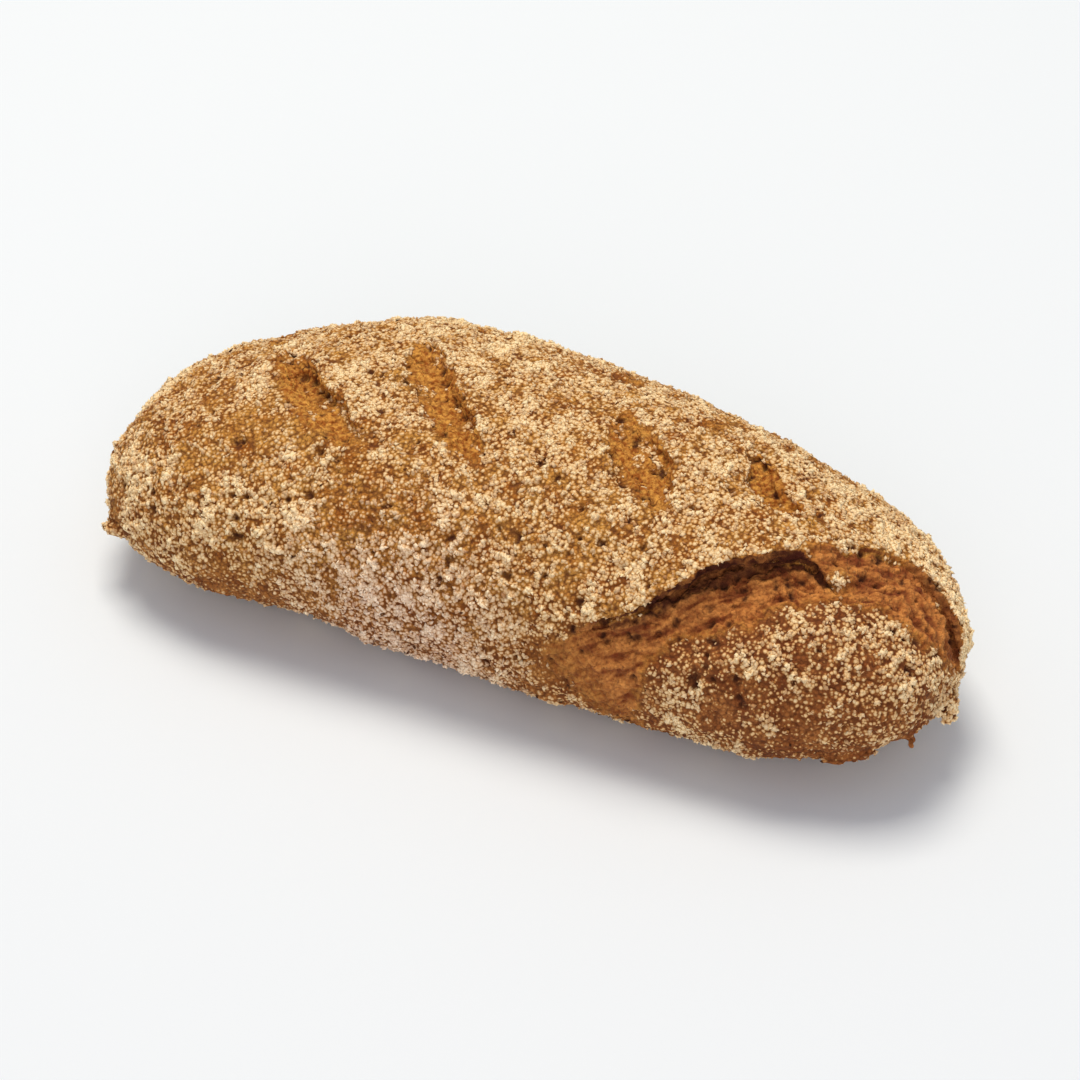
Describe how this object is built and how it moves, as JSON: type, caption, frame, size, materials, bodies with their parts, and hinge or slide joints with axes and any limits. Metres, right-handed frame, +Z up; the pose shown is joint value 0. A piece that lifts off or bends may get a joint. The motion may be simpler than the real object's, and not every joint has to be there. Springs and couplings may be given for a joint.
{
  "type": "rye nut roll",
  "caption": "Long hand-shaped rye loaf with a floured brown crust, slanting blade cuts along its top and one end burst open round a blunt nose, lying on a flat base.",
  "frame": {"origin": "middle of the loaf's box, on the flat base that it lies on", "axes": "+X along the loaf towards the burst end, +Y to the back, +Z up out of the base"},
  "size_m": [0.2212, 0.101, 0.0601],
  "materials": {
    "crust": "matte"
  },
  "bodies": {
    "root": {"loaf": "crust"}
  },
  "joints": []
}
